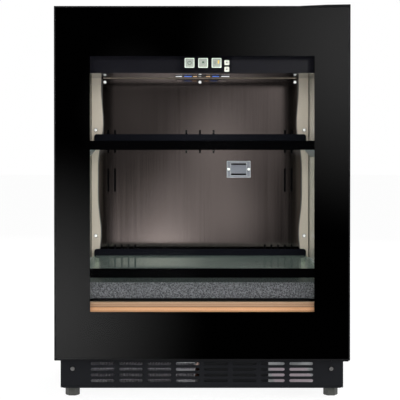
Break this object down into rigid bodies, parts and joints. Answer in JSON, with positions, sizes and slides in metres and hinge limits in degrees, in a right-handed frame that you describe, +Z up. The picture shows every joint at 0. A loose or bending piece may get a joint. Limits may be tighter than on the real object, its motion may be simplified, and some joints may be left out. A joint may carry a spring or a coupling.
{
  "type": "beverage cooler",
  "caption": "Under-counter beverage cooler: right-hung black glass door, glass shelves, wood-fronted slide-out rack, touch keys, kick grille, open machine room and levelling feet.",
  "frame": {"origin": "on the floor, under the middle of the whole cooler", "axes": "+Z up, -Y out of the front through the glass door, +X to the right seen from the front"},
  "size_m": [0.595, 0.57, 0.804],
  "materials": {
    "wrapper_steel": "satin",
    "galvanised_sheet": "satin",
    "foam": "matte",
    "liner_plastic": "satin",
    "embossed_sheet": "satin",
    "brushed_panel": "satin",
    "strip_metal": "satin",
    "bright_screws": "gloss",
    "sensor_plastic": "gloss",
    "sensor_metal": "satin",
    "fin_aluminium": "satin",
    "fan_plastic": "matte",
    "fascia_plastic": "gloss",
    "insert_plastic": "gloss",
    "board_laminate": "satin",
    "key_plastic": "gloss",
    "small_key_plastic": "gloss",
    "ceiling_plastic": "gloss",
    "lamp_diffuser": "matte",
    "ledge_plastic": "satin",
    "shelf_glass": "gloss",
    "trim_plastic": "gloss",
    "rail_steel": "satin",
    "rack_wire_steel": "gloss",
    "rack_wood": "satin",
    "grille_steel": "satin",
    "grille_screw_steel": "gloss",
    "foot_steel": "satin",
    "compressor_steel": "gloss",
    "mount_rubber": "matte",
    "tray_plastic": "satin",
    "condenser_metal": "satin",
    "tube_copper": "satin",
    "box_plastic": "matte",
    "hinge_steel": "satin",
    "hinge_cover_plastic": "satin",
    "door_frame_black": "satin",
    "door_glass": "gloss",
    "door_border_black": "gloss",
    "spacer_aluminium": "satin",
    "gasket_rubber": "matte",
    "bush_plastic": "satin"
  },
  "bodies": {
    "cabinet": {"outer_wrapper": "wrapper_steel", "back_plate": "galvanised_sheet", "machine_deck": "galvanised_sheet", "insulation_foam": "foam", "inner_liner": "liner_plastic", "front_frame": "wrapper_steel", "step_cover": "embossed_sheet", "back_panel": "brushed_panel", "side_strips": "strip_metal", "back_wall_screws": "bright_screws", "sensor_cover": "sensor_plastic", "temperature_sensor": "sensor_metal", "evaporator": "fin_aluminium", "evaporator_fan_housing": "fan_plastic", "control_housing": "fascia_plastic", "control_insert": "insert_plastic", "control_board": "board_laminate", "ceiling_cover": "ceiling_plastic", "lamp_lens": "lamp_diffuser", "shelf_ledges": "ledge_plastic", "upper_shelf_glass": "shelf_glass", "upper_shelf_trims": "trim_plastic", "lower_shelf_glass": "shelf_glass", "lower_shelf_trims": "trim_plastic", "rack_rails": "rail_steel", "kick_grille": "grille_steel", "grille_screws": "grille_screw_steel", "base_pan": "galvanised_sheet", "compressor": "compressor_steel", "compressor_mounts": "mount_rubber", "drip_tray": "tray_plastic", "condenser": "condenser_metal", "condenser_fan_shroud": "fan_plastic", "refrigerant_tubes": "tube_copper", "electrical_box": "box_plastic", "mains_gland": "box_plastic", "top_hinge_bracket": "hinge_steel", "hinge_cover": "hinge_cover_plastic", "bottom_hinge_bracket": "hinge_steel", "hinge_screws": "bright_screws"},
    "door": {"door_frame": "door_frame_black", "door_outer_glass": "door_glass", "door_border": "door_border_black", "glass_spacer": "spacer_aluminium", "door_inner_glass": "door_glass", "door_gasket": "gasket_rubber", "hinge_bushes": "bush_plastic"},
    "rack": {"rack_wires": "rack_wire_steel", "rack_front": "rack_wood"},
    "power_key": {"power_key": "key_plastic"},
    "lamp_key": {"lamp_key": "key_plastic"},
    "display_key": {"display_key": "key_plastic"},
    "up_key": {"up_key": "small_key_plastic"},
    "down_key": {"down_key": "small_key_plastic"},
    "evaporator_fan": {"evaporator_fan": "fan_plastic"},
    "condenser_fan": {"condenser_fan": "fan_plastic"},
    "front_left_foot": {"front_left_foot": "foot_steel"},
    "front_right_foot": {"front_right_foot": "foot_steel"},
    "rear_left_foot": {"rear_left_foot": "foot_steel"},
    "rear_right_foot": {"rear_right_foot": "foot_steel"}
  },
  "joints": [
    {"name": "door_swing", "type": "hinge", "parent": "cabinet", "child": "door", "pos_m": [0.29, -0.264, 0.088], "axis": [0, 0, 1], "range_deg": [0, 115]},
    {"name": "rack_slide", "type": "slide", "parent": "cabinet", "child": "rack", "axis": [0, -1, 0], "range_m": [0, 0.141]},
    {"name": "power_key_press", "type": "slide", "parent": "cabinet", "child": "power_key", "axis": [0, 1, 0], "range_m": [0, 0.0008], "stiffness_N_per_m": 400, "springref_m": -0.001},
    {"name": "lamp_key_press", "type": "slide", "parent": "cabinet", "child": "lamp_key", "axis": [0, 1, 0], "range_m": [0, 0.0008], "stiffness_N_per_m": 400, "springref_m": -0.001},
    {"name": "display_key_press", "type": "slide", "parent": "cabinet", "child": "display_key", "axis": [0, 1, 0], "range_m": [0, 0.0008], "stiffness_N_per_m": 400, "springref_m": -0.001},
    {"name": "up_key_press", "type": "slide", "parent": "cabinet", "child": "up_key", "axis": [0, 1, 0], "range_m": [0, 0.0008], "stiffness_N_per_m": 400, "springref_m": -0.001},
    {"name": "down_key_press", "type": "slide", "parent": "cabinet", "child": "down_key", "axis": [0, 1, 0], "range_m": [0, 0.0008], "stiffness_N_per_m": 400, "springref_m": -0.001},
    {"name": "evaporator_fan_spin", "type": "hinge", "parent": "cabinet", "child": "evaporator_fan", "pos_m": [0, 0.19, 0.5281], "axis": [0, -1, 0], "continuous": true},
    {"name": "condenser_fan_spin", "type": "hinge", "parent": "cabinet", "child": "condenser_fan", "pos_m": [-0.133, 0.04, 0.086], "axis": [0, -1, 0], "continuous": true},
    {"name": "front_left_foot_screw", "type": "slide", "parent": "cabinet", "child": "front_left_foot", "axis": [0, 0, -1], "range_m": [0, 0.02]},
    {"name": "front_right_foot_screw", "type": "slide", "parent": "cabinet", "child": "front_right_foot", "axis": [0, 0, -1], "range_m": [0, 0.02]},
    {"name": "rear_left_foot_screw", "type": "slide", "parent": "cabinet", "child": "rear_left_foot", "axis": [0, 0, -1], "range_m": [0, 0.02]},
    {"name": "rear_right_foot_screw", "type": "slide", "parent": "cabinet", "child": "rear_right_foot", "axis": [0, 0, -1], "range_m": [0, 0.02]}
  ],
  "couplings": [
    {"joint": "rack_slide", "follows": "door_swing", "m_per_rad": 0.07}
  ]
}
